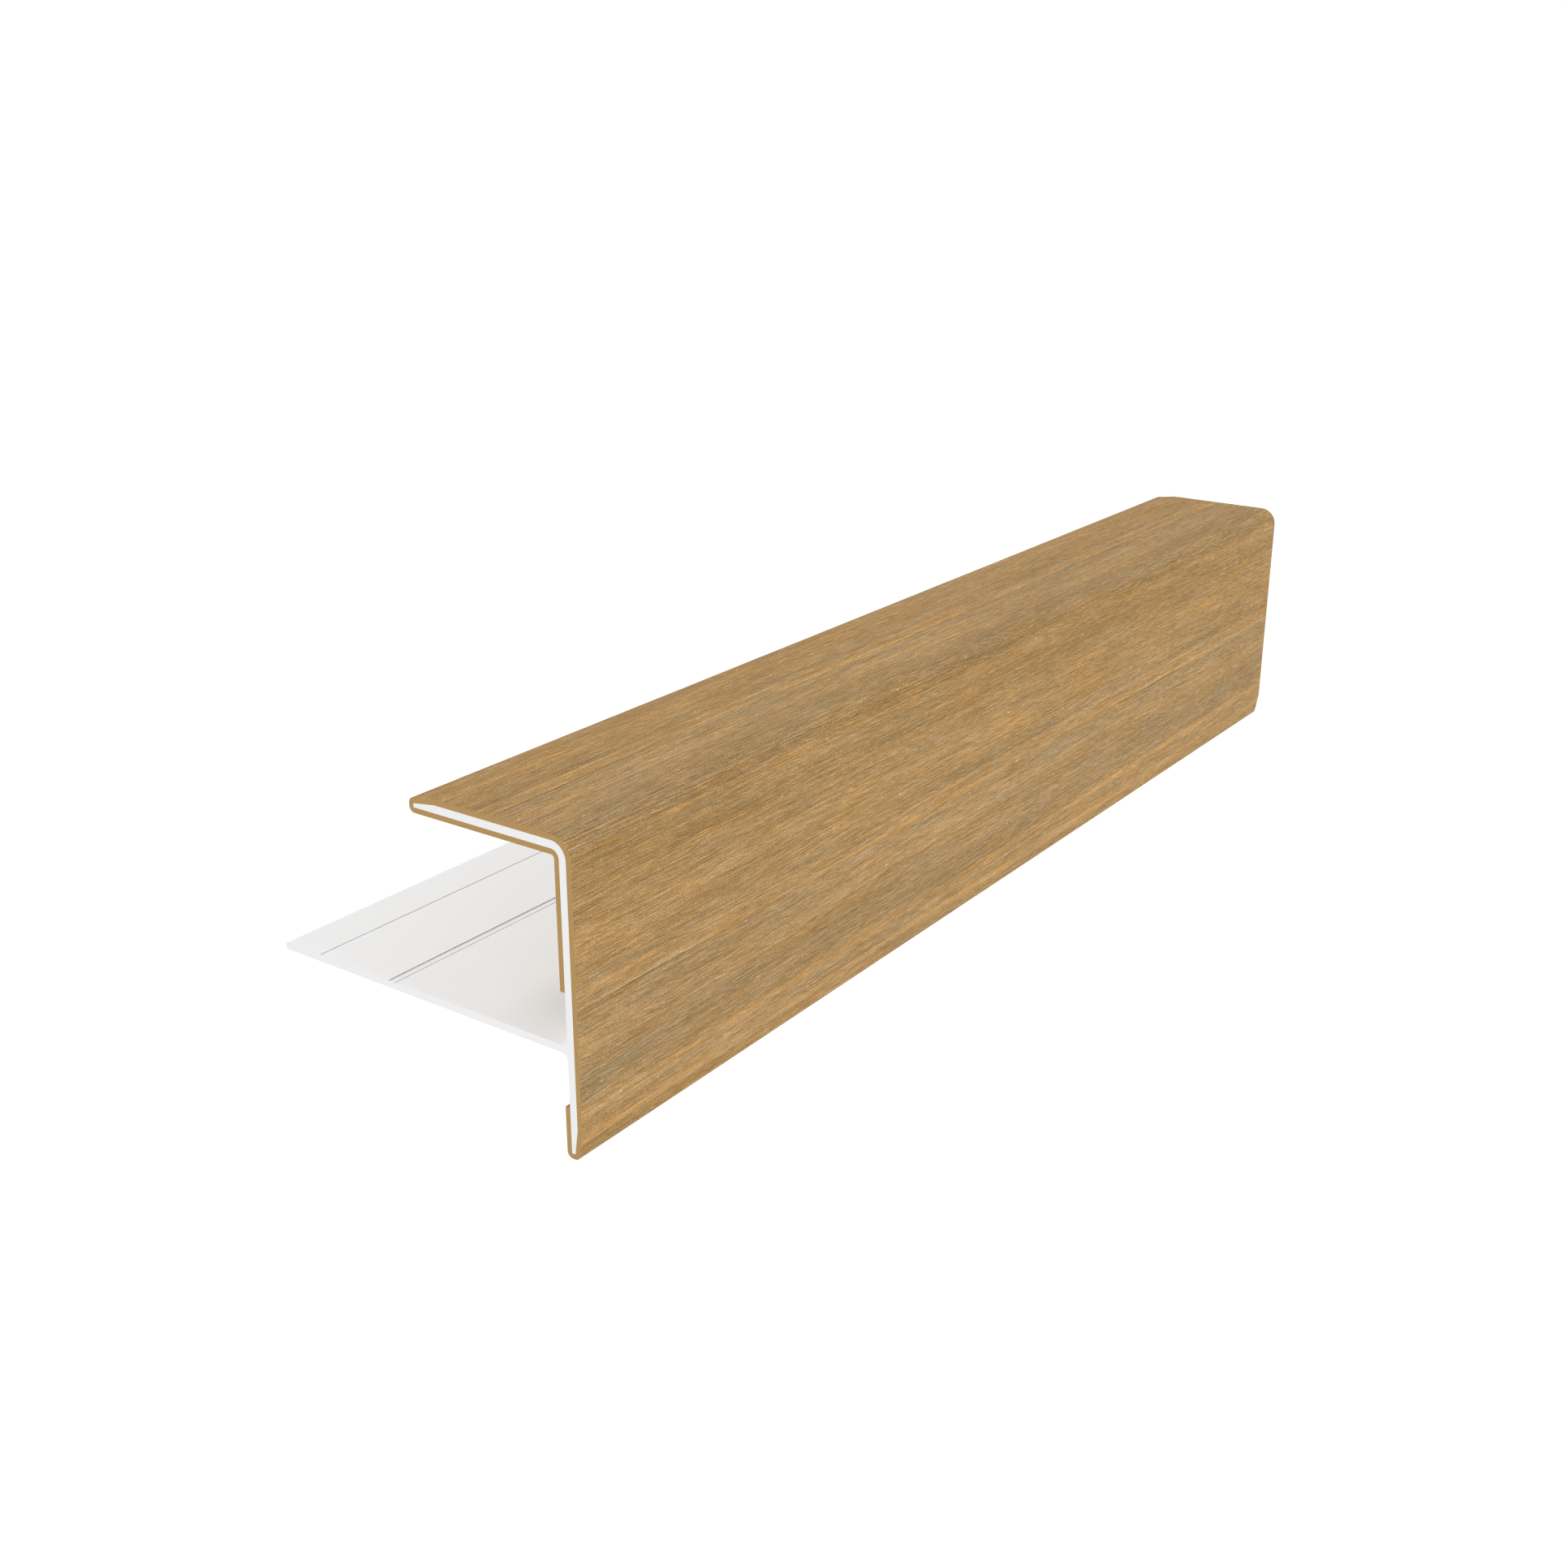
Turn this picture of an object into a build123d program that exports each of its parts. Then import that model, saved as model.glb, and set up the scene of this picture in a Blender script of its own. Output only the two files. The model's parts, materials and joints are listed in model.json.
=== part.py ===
from build123d import *

import os
from math import asin, atan2, degrees, hypot

# Edge trim profile for the bare edge of a board. A white PVC extrusion has a short top leg and a
# long face wall, which make an L, and a thin fixing flange behind the face. One strip of wood-effect
# film is wrapped around the L. The piece is drawn as it lies on a level floor, on two long edges:
# the tip of the flange and the back of the lip. Millimetres, Z up, Y along the extrusion.

# Overall sizes, over the wrap and square to the face wall
length = 250.0
face_height = 50.65
leg_reach = 30.9
flange_reach = 61.7

# Walls
core_thickness = 1.25
flange_thickness = 1.25
wrap_thickness = 0.88
channel_height = 29.3  # between the wrapped leg and the flange, where the board goes in

# Rounded corners
inner_corner_radius = 1.4  # of the core, inside the corner of leg and face wall
junction_radius = 1.25  # on both sides of the flange's root
tip_edge_radius = 0.1  # of the core's two free tips
flange_tip_flat = 0.15  # left between the flange tip's two rounded corners

# The two free tips of the core thin out towards their ends, on the outer side
tip_thickness = 0.63
leg_bevel_length = 4.3
lip_bevel_length = 4.15

# How far the wrap turns in behind the face wall
wrap_return_height = 8.35  # up the back of the lip, from its lowest point
wrap_inside_height = 20.8  # down from the wrapped underside of the leg

# Score line, a fine V near the flange's tip
score_from_tip = 8.13  # to its lowest line
score_depth = 0.13
score_near_run = 0.06
score_far_run = 0.19

# Groove that marks the line of screws along the middle of the flange, with a fine V on its far side
groove_from_tip = 23.35
groove_floor_width = 1.15
groove_floor_depth = 0.15
groove_depth = 0.27
groove_near_run = 0.05
groove_far_run = 0.39

# Places in the section: x = 0 and y = 0 are the wrap's outer surfaces, on the face and on the leg
core_face = -wrap_thickness
core_back = core_face - core_thickness
core_top = -wrap_thickness
core_under = core_top - core_thickness
leg_tip = -leg_reach + wrap_thickness
lip_tip = -face_height + wrap_thickness
tip_drop = core_thickness - tip_thickness

leg_wrap_under = core_under - wrap_thickness
wrap_inside_end = leg_wrap_under - wrap_inside_height
wrap_return_end = -face_height + wrap_return_height

flange_top = leg_wrap_under - channel_height
flange_under = flange_top - flange_thickness
flange_tip = -flange_reach
flange_tip_radius = (flange_thickness - flange_tip_flat) / 2
score_line = flange_tip + score_from_tip
groove_side = flange_tip + groove_from_tip
groove_line = groove_side + groove_floor_width + groove_near_run


def corners(sketch, *places):
    """The vertices of a sketch that lie nearest to places of the section."""
    return [sketch.vertices().sort_by_distance(place)[0] for place in places]


# The L of the core, without its flange: what the wrap goes around
with BuildSketch() as wrapped_l:
    with BuildLine():
        Polyline(
            (core_back, core_under),
            (leg_tip, core_under),
            (leg_tip, core_top - tip_drop),
            (leg_tip + leg_bevel_length, core_top),
            (core_face, core_top),
            (core_face, lip_tip + lip_bevel_length),
            (core_face - tip_drop, lip_tip),
            (core_back, lip_tip),
            close=True,
        )
    make_face()
    fillet(corners(wrapped_l, (core_face, core_top)), radius=inner_corner_radius + core_thickness)
    fillet(corners(wrapped_l, (core_back, core_under)), radius=inner_corner_radius)
    tip_edges = corners(
        wrapped_l,
        (leg_tip, core_under),
        (leg_tip, core_top - tip_drop),
        (core_face - tip_drop, lip_tip),
        (core_back, lip_tip),
    )
    fillet(tip_edges, radius=tip_edge_radius)

# Core: the L, the flange rooted in its face wall, and the flange's two grooves
with BuildSketch() as core_section:
    add(wrapped_l.sketch)
    with Locations((flange_tip, flange_top)):
        Rectangle(core_face - flange_tip, flange_thickness, align=(Align.MIN, Align.MAX))
    fillet(
        corners(core_section, (core_back, flange_top), (core_back, flange_under)),
        radius=junction_radius,
    )
    fillet(
        corners(core_section, (flange_tip, flange_top), (flange_tip, flange_under)),
        radius=flange_tip_radius,
    )
    with BuildLine():
        Polyline(
            (score_line - score_near_run, flange_top),
            (score_line, flange_top - score_depth),
            (score_line + score_far_run, flange_top),
            close=True,
        )
    make_face(mode=Mode.SUBTRACT)
    with BuildLine():
        Polyline(
            (groove_side, flange_top),
            (groove_side, flange_top - groove_floor_depth),
            (groove_line - groove_near_run, flange_top - groove_floor_depth),
            (groove_line, flange_top - groove_depth),
            (groove_line + groove_far_run, flange_top),
            close=True,
        )
    make_face(mode=Mode.SUBTRACT)

# Wrap: an even layer around the L, with a gap on the back of the face wall, where the flange is
with BuildSketch() as wrap_section:
    add(wrapped_l.sketch)
    offset(amount=wrap_thickness, kind=Kind.ARC)
    add(wrapped_l.sketch, mode=Mode.SUBTRACT)
    with Locations((core_back, wrap_inside_end)):
        Rectangle(
            wrap_thickness,
            wrap_inside_end - wrap_return_end,
            align=(Align.MAX, Align.MAX),
            mode=Mode.SUBTRACT,
        )

# At rest both long edges touch the floor: the line under the two rounds is tilted by rest_tilt
lip_round = tip_edge_radius + wrap_thickness
edge_run = (core_back + tip_edge_radius) - (flange_tip + flange_tip_radius)
edge_drop = (flange_under + flange_tip_radius) - (lip_tip + tip_edge_radius)
rest_tilt = degrees(
    atan2(edge_drop, edge_run) + asin((lip_round - flange_tip_radius) / hypot(edge_run, edge_drop))
)

# Origin under the middle of the piece as it lies
with BuildSketch() as lying_outline:
    add([core_section.sketch, wrap_section.sketch], rotation=rest_tilt)
footprint = lying_outline.sketch.bounding_box()
section_plane = Plane(
    origin=(-footprint.center().X, length / 2, -footprint.min.Y),
    x_dir=(1, 0, 0),
    z_dir=(0, -1, 0),
).rotated((0, -rest_tilt, 0))

with BuildPart() as pvc_core:
    with BuildSketch(section_plane):
        add(core_section.sketch)
    extrude(amount=length)

with BuildPart() as woodgrain_wrap:
    with BuildSketch(section_plane):
        add(wrap_section.sketch)
    extrude(amount=length)

os.makedirs("parts", exist_ok=True)
pvc_core.part.label = "pvc_core"
export_step(pvc_core.part, "parts/pvc_core.step")
woodgrain_wrap.part.label = "woodgrain_wrap"
export_step(woodgrain_wrap.part, "parts/woodgrain_wrap.step")
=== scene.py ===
import json
import math

import bpy
from mathutils import Matrix, Vector


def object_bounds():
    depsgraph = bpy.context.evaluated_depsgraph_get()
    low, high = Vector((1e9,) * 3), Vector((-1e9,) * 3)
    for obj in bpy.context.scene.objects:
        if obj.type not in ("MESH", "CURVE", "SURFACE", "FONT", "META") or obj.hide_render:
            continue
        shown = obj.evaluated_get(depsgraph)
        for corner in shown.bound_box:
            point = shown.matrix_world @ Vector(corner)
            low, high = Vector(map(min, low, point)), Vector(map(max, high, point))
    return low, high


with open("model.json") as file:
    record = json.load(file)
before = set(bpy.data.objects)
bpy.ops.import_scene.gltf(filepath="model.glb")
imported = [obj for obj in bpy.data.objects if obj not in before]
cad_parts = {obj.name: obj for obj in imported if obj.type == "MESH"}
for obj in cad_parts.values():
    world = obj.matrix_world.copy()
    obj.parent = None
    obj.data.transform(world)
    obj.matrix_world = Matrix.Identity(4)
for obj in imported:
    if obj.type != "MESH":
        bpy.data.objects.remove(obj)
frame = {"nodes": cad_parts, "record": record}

cad_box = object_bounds()

# The PVC core: one white extrusion, an L of top leg and face wall with a thin fixing flange behind it.
# It leaves the die smooth, with faint draw lines along its length, and keeps a slight sheen.
core = frame["nodes"]["pvc_core"]

pvc_white = (0.8, 0.801, 0.803, 1)
pvc_roughness = 0.42
draw_line_width = 0.0016
draw_line_length = 0.25
draw_line_height = 0.00001
draw_line_dulling = 0.06


class Shade:
    """A socket of a material's nodes. Sums and products of shades add the Math nodes for them."""

    def __init__(self, tree, socket):
        self.tree = tree
        self.socket = socket

    def node(self, kind, settings=None, out=0, **values):
        """Adds a node, sets it up, feeds its sockets and returns one of its outputs."""
        made = self.tree.nodes.new(kind)
        for name, value in (settings or {}).items():
            setattr(made, name, value)
        for name, value in values.items():
            place = int(name[1:]) if name[0] == "_" else name.replace("_", " ")
            if isinstance(value, Shade):
                self.tree.links.new(value.socket, made.inputs[place])
            else:
                made.inputs[place].default_value = value
        return Shade(self.tree, made.outputs[out])

    def math(self, operation, *others):
        """Adds a Math node that takes this shade first, and then the others."""
        values = {f"_{i}": value for i, value in enumerate((self, *others))}
        return self.node("ShaderNodeMath", {"operation": operation}, **values)

    def parts(self):
        """The three numbers of this vector."""
        split = self.node("ShaderNodeSeparateXYZ", Vector=self)
        return [Shade(self.tree, number) for number in split.socket.node.outputs]

    def __add__(self, other):
        return self.math("ADD", other)

    def __sub__(self, other):
        return self.math("SUBTRACT", other)

    def __rsub__(self, other):
        return self * -1 + other

    def __mul__(self, other):
        return self.math("MULTIPLY", other)

    def __truediv__(self, other):
        return self.math("DIVIDE", other)

    __radd__ = __add__
    __rmul__ = __mul__


def bare_material(name):
    """A new material with one Principled shader, and the object coordinates to draw its pattern with."""
    material = bpy.data.materials.new(name)
    material.use_nodes = True
    tree = material.node_tree
    place = tree.nodes.new("ShaderNodeTexCoord")
    return material, tree.nodes["Principled BSDF"], Shade(tree, place.outputs["Object"])


pvc, surface, place = bare_material("white_pvc_extruded")
drawn = place.node(
    "ShaderNodeMapping",
    Vector=place,
    Scale=(1 / draw_line_width, 1 / draw_line_length, 1 / draw_line_width),
)
lines = place.node("ShaderNodeTexNoise", Vector=drawn, Scale=1.0, Detail=2.0, Roughness=0.5)
relief = place.node(
    "ShaderNodeBump",
    out="Normal",
    Height=lines,
    Strength=1.0,
    Distance=draw_line_height,
)
pvc.node_tree.links.new(relief.socket, surface.inputs["Normal"])
pvc.node_tree.links.new((pvc_roughness + lines * draw_line_dulling).socket, surface.inputs["Roughness"])
surface.inputs["Base Color"].default_value = pvc_white
core.material_slots[0].material = pvc

# One band along the rounded corner is not print but painted light: it lightens the shade that the corner gets
# from the lamps.
# The wrap: one strip of oak-effect film, bonded around the leg and the face wall with the grain along
# the length. Its cut ends are plain brown. The print has fine streaks over broader bands, and repeats.
# Its sizes are in millimetres, and its girth runs from the middle of the rounded corner down the face.
wrap = frame["nodes"]["woodgrain_wrap"]

oak_brown = (0.314, 0.1965, 0.0842)
cut_brown = (0.43, 0.268, 0.106)
tone_steps = (0.0088, 0.0092, 0.0116)  # how much lighter one step of tone makes the print
most_warmth = 12
greyer = (0.89, 1.015, 1.25)  # what that many steps of warmth below the middle make of the print
warmer = (1.11, 0.985, 0.75)  # and that many above it
film_roughness = 0.5
film_gloss = 0.004
pore_size = (0.3, 5.0)  # width and length
pore_height = 0.00001  # in metres
pore_dulling = 0.02

millimetres = 1000  # in a metre
corner_radius = 3.53
front_depth = 1.5  # how far in the film counts as its front, half the wrapped edge
leg_flat = 25.6  # from the corner to just before the bevel of each tip
face_flat = 45.5
back_shift = 61.3  # of the print, between the film's front and its turned-in back
cut_depth = 0.02
streak_slant = 0.35
unit_gain = 6  # brings a noise to about one unit
streak_layers = {  # width, length and tone
    "specks": (0.14, 0.5, 12.6),
    "hairlines": (0.148, 2.3, 12.3),
    "fine streaks": (0.148, 7.0, 13.0),
    "long streaks": (0.18, 20.0, 9.0),
    "lines": (0.21, 90.0, 7.0),
    "clouds": (2.2, 14.0, 2.5),
    "wide clouds": (5.0, 40.0, 3.0),
}
warmth_layers = {  # width, length and warmth
    "fine": (0.3, 1.0, 1.7),
    "streaks": (0.4, 6.0, 1.5),
    "lines": (0.8, 90.0, 1.8),
    "clouds": (3.0, 15.0, 1.5),
}

print_repeat = 39.6
print_start = -14.15  # girth of its brightest orange streak
above_streak = 6.0  # part of a repeat that lies on the leg's side of that streak
wander_shape = (30.0, 70.0)  # width and length of the bends in the print
wander = 0.15
patchy_shape = (2.5, 35.0)  # width and length of the uneven places in a band
patchiness = 0.2
repeated_bands = {  # place from that streak, half width, tone, warmth
    "dark grey": (-3.6, 0.8, -8, -4),
    "narrow orange": (-2.25, 0.32, 17, 4),
    "orange between them": (-1.1, 0.5, 5, 1),
    "bright orange": (-0.05, 0.4, 20, 5),
    "grey below it": (1.8, 1.6, 1, -5),
    "pale": (5.2, 2.5, 8, -2),
    "grey": (12.2, 3.3, -5, -5),
    "brown": (28.6, 3.0, 0, 2),
    "pale line in it": (29.7, 0.6, 5, -1),
}
single_bands = {  # girth, half width, tone, warmth
    # painted highlight: a lighter band along the rounded corner, evening out the shade that falls there
    "painted light on the corner": (-0.6, 1.6, 9, 1),
    "dark brown under the corner": (1.5, 1.2, -10, 2),
    "orange in it": (2.7, 0.4, 3, 4),
    "deep brown": (6.0, 3.4, -12, 1),
    "darker line in it": (7.7, 0.9, -6, 0),
    "orange near the lip": (42.1, 0.6, 20, 6),
    "tan": (43.7, 1.2, 5, -1),
    "orange at the lip": (46.6, 1.0, 23, 4),
}
repeat_along = 173.5
repeated_patches = {  # place from the streak, half width, place along, half length, tone, warmth
    "dark line under the orange": (0.5, 0.17, 15.0, 14.0, -60, -5),
    "dark line in the pale band": (4.2, 0.13, 26.0, 5.0, -30, 0),
    "tan in the pale band": (5.2, 2.2, 102.0, 20.0, 8, 3),
    "grey beside it": (10.0, 2.0, 77.0, 14.0, -7, -1),
    "dark grey beside it": (14.2, 1.6, 112.0, 26.0, -7, -1),
}
single_patches = {  # girth, half width, place along, half length, tone, warmth
    "pale over the deep brown": (4.5, 4.5, 62.0, 20.0, 9, -1),
    "deepest brown": (8.0, 2.0, 18.0, 22.0, -6, 1),
    "tan in the middle": (15.0, 3.0, 92.0, 20.0, 6, 1),
    "gap in the orange by the lip": (42.2, 0.9, 100.0, 16.0, -17, -4),
    "dark line in that gap": (41.5, 0.14, 106.0, 13.0, -35, -2),
}
fleck_spacing = (6.0, 16.0)  # around and along
fleck_size = 0.021  # of that spacing
fleck_share = 0.5
fleck_tone = 75
seeds = {"wander": 3, "bands": 50, "tone": 1, "warmth": 78, "pores": 97}
seed_step = 11  # from one layer to the next

# Where the section stands: its tilt on the floor, and the corner where its two outer faces would meet
flange_back = next(m for m in frame["record"]["mounts"] if m["name"] == "flange_back")
flange_back_place = (-0.031915, -0.03356)  # from that corner, across and square up
tilt = math.atan2(flange_back["axis"][0], -flange_back["axis"][2])
across = Vector((math.cos(tilt), 0, math.sin(tilt)))
square_up = Vector((-math.sin(tilt), 0, math.cos(tilt)))
along = Vector((0, 1, 0))
corner = Vector(flange_back["pos_m"]) - across * flange_back_place[0] - square_up * flange_back_place[1]

film, surface, place = bare_material("oak_film")
square = place.node(
    "ShaderNodeMapping",
    Vector=place,
    Location=[-millimetres * start for start in (corner.dot(across), cad_box[0][1], corner.dot(square_up))],
    Rotation=(0, tilt, 0),
    Scale=[millimetres] * 3,
)
x, y, z = square.parts()
outside_leg_tip = x.math("LESS_THAN", -leg_flat) * z.math("GREATER_THAN", -front_depth)
outside_lip = z.math("LESS_THAN", -face_flat) * x.math("GREATER_THAN", -front_depth)
spread = x * (1 - outside_lip * 2) - z * (1 - outside_leg_tip * 2)
bend = spread.node("ShaderNodeClamp", Value=spread, Min=-corner_radius, Max=corner_radius)
turned_in = x.math("LESS_THAN", -front_depth) * z.math("LESS_THAN", -front_depth)
girth = (bend / (corner_radius * math.sqrt(2))).math("ARCSINE") * corner_radius + (spread - bend) \
    + turned_in * back_shift


def streaks(wide, long, seed):
    """Noise of about one unit, up and down, in streaks of that width and length.

    Their ends slant, one way for an odd seed and the other way for an even one.
    """
    cell = girth / wide + seed
    slant = streak_slant if seed % 2 else -streak_slant
    spot = cell.node("ShaderNodeCombineXYZ", X=cell, Y=y / long + cell * slant)
    noise = spot.node(
        "ShaderNodeTexNoise", {"noise_dimensions": "2D"}, Vector=spot, Scale=1.0, Detail=0.0
    )
    return (noise - 0.5) * unit_gain


def swell(value, middle, half_width):
    """One at the middle, and soft shoulders down to nothing on both sides."""
    away = (value - middle) / half_width
    return (away * away * -1).math("EXPONENT")


bent_girth = girth + streaks(*wander_shape, seeds["wander"]) * wander
repeat = (bent_girth - print_start).math("WRAP", print_repeat - above_streak, -above_streak)
tone = 0
warmth = 0
bands = [(repeat, *band) for band in repeated_bands.values()]
bands += [(bent_girth, *band) for band in single_bands.values()]
for number, (across_print, middle, half_width, lighter, warmer_by) in enumerate(bands):
    uneven = 1 + streaks(*patchy_shape, seeds["bands"] + number) * patchiness
    band = swell(across_print, middle, half_width) * uneven
    tone = band * lighter + tone
    warmth = band * warmer_by + warmth
patches = [(repeat, *patch) for patch in repeated_patches.values()]
patches += [(bent_girth, *patch) for patch in single_patches.values()]
for across_print, middle, half_width, middle_along, half_length, lighter, warmer_by in patches:
    from_middle = (y - middle_along).math("WRAP", repeat_along / 2, -repeat_along / 2)
    patch = swell(across_print, middle, half_width) * swell(from_middle, 0, half_length)
    tone = patch * lighter + tone
    warmth = patch * warmer_by + warmth
for number, (wide, long, strength) in enumerate(streak_layers.values()):
    tone = streaks(wide, long, seeds["tone"] + seed_step * number) * strength + tone
for number, (wide, long, strength) in enumerate(warmth_layers.values()):
    warmth = streaks(wide, long, seeds["warmth"] + seed_step * number) * strength + warmth

spot = girth.node("ShaderNodeCombineXYZ", X=girth / fleck_spacing[0], Y=y / fleck_spacing[1])
flecks = {"voronoi_dimensions": "2D", "feature": "F1"}
distance = spot.node("ShaderNodeTexVoronoi", flecks, out="Distance", Vector=spot, Scale=1.0)
chance = spot.node("ShaderNodeTexVoronoi", flecks, out="Color", Vector=spot, Scale=1.0).parts()[0]
tone = swell(distance, 0, fleck_size) * chance.math("LESS_THAN", fleck_share) * fleck_tone + tone

# The lightness is a square plus one, which is two at the middle tone, so the two tints are halved
tint = warmth.node(
    "ShaderNodeMix",
    {"data_type": "RGBA"},
    out=2,
    _0=warmth / (2 * most_warmth) + 0.5,
    _6=tuple(a * b / 2 for a, b in zip(oak_brown, greyer)) + (1,),
    _7=tuple(a * b / 2 for a, b in zip(oak_brown, warmer)) + (1,),
)
steps_up = {"operation": "MULTIPLY_ADD"}
linear = tone.node("ShaderNodeVectorMath", steps_up, _0=tone, _1=tone_steps, _2=(1, 1, 1))
lightness = tone.node("ShaderNodeVectorMath", steps_up, _0=linear, _1=linear, _2=(1, 1, 1))
printed = tint.node("ShaderNodeVectorMath", {"operation": "MULTIPLY"}, _0=tint, _1=lightness)
mid_length = millimetres * (cad_box[1][1] - cad_box[0][1]) / 2
cut = (y - mid_length).math("ABSOLUTE").math("GREATER_THAN", mid_length - cut_depth)
brown = printed.node(
    "ShaderNodeMix", {"data_type": "RGBA"}, out=2, _0=cut, _6=printed, _7=cut_brown + (1,)
)
pores = streaks(*pore_size, seeds["pores"])
relief = pores.node("ShaderNodeBump", Height=pores, Strength=1.0, Distance=pore_height)
film.node_tree.links.new(brown.socket, surface.inputs["Base Color"])
film.node_tree.links.new(relief.socket, surface.inputs["Normal"])
film.node_tree.links.new((film_roughness + pores * pore_dulling).socket, surface.inputs["Roughness"])
surface.inputs["Specular IOR Level"].default_value = film_gloss
wrap.material_slots[0].material = film

# The stage: a pale light table, which leaves almost no shadow, in a white studio that is darker
# overhead. Two wide softboxes fill in: one lights the channel from its open side, one the corner.
floor_size = 12.0
floor_colour = (0.16, 0.16, 0.16, 1)
floor_roughness = 0.9
floor_glow = 0.92
horizon_strength = 1.27
overhead_strength = 0.2
softboxes = {  # place, width and watts
    "channel_softbox": ((-1.1, -0.3, 0.85), 0.8, 12.6),
    "corner_softbox": ((1.0, 0.12, 0.95), 0.6, 10.6),
}
mesh = bpy.data.meshes.new("floor")
half = floor_size / 2
mesh.from_pydata([(-half, -half, 0), (half, -half, 0), (half, half, 0), (-half, half, 0)], [], [(0, 1, 2, 3)])
floor = bpy.data.objects.new("floor", mesh)
bpy.context.scene.collection.objects.link(floor)
pale, surface, place = bare_material("pale_floor")
surface.inputs["Base Color"].default_value = floor_colour
surface.inputs["Roughness"].default_value = floor_roughness
surface.inputs["Specular IOR Level"].default_value = 0.0
surface.inputs["Emission Color"].default_value = (1, 1, 1, 1)
surface.inputs["Emission Strength"].default_value = floor_glow
mesh.materials.append(pale)

sky = bpy.data.worlds.new("studio")
sky.use_nodes = True
sky.node_tree.nodes["Background"].inputs["Color"].default_value = (1, 1, 1, 1)
direction = sky.node_tree.nodes.new("ShaderNodeTexCoord")
height = Shade(sky.node_tree, direction.outputs["Generated"]).parts()[2].math("MAXIMUM", 0.0)
strength = height * (overhead_strength - horizon_strength) + horizon_strength
sky.node_tree.links.new(strength.socket, sky.node_tree.nodes["Background"].inputs["Strength"])
bpy.context.scene.world = sky
bpy.context.scene.view_settings.view_transform = "Standard"
for name, (spot, width, watts) in softboxes.items():
    box = bpy.data.lights.new(name, "AREA")
    box.size = width
    box.energy = watts
    softbox = bpy.data.objects.new(name, box)
    aim = Vector(spot).to_track_quat("Z", "Y").to_matrix().to_4x4()
    softbox.matrix_world = Matrix.Translation(spot) @ aim
    bpy.context.scene.collection.objects.link(softbox)

# The camera: it looks down on the near end from the face's side. Its place is given from the corner
# where leg and face meet at the near end, in the section's own square axes, which lie turned by tilt.
near_corner = corner + along * cad_box[0][1]

camera_across = 0.1609
camera_up = 0.0978
camera_back = 0.1756
azimuth = math.radians(35.497)
elevation = math.radians(20.786)
focal_pixels = 2328.2
frame_pixels = 1932
sensor_width = 36.0
nearest_seen = 0.01

look = bpy.data.cameras.new("photo_view")
look.sensor_width = sensor_width
look.lens = sensor_width * focal_pixels / frame_pixels
look.clip_start = nearest_seen
camera = bpy.data.objects.new("photo_view", look)
bpy.context.scene.collection.objects.link(camera)
right = across * math.cos(azimuth) + along * math.sin(azimuth)
forward = (along * math.cos(azimuth) - across * math.sin(azimuth)) * math.cos(elevation) \
    - square_up * math.sin(elevation)
turn = Matrix((right, right.cross(forward), -forward)).transposed().to_4x4()
spot = near_corner + across * camera_across + square_up * camera_up - along * camera_back
camera.matrix_world = Matrix.Translation(spot) @ turn
bpy.context.scene.camera = camera
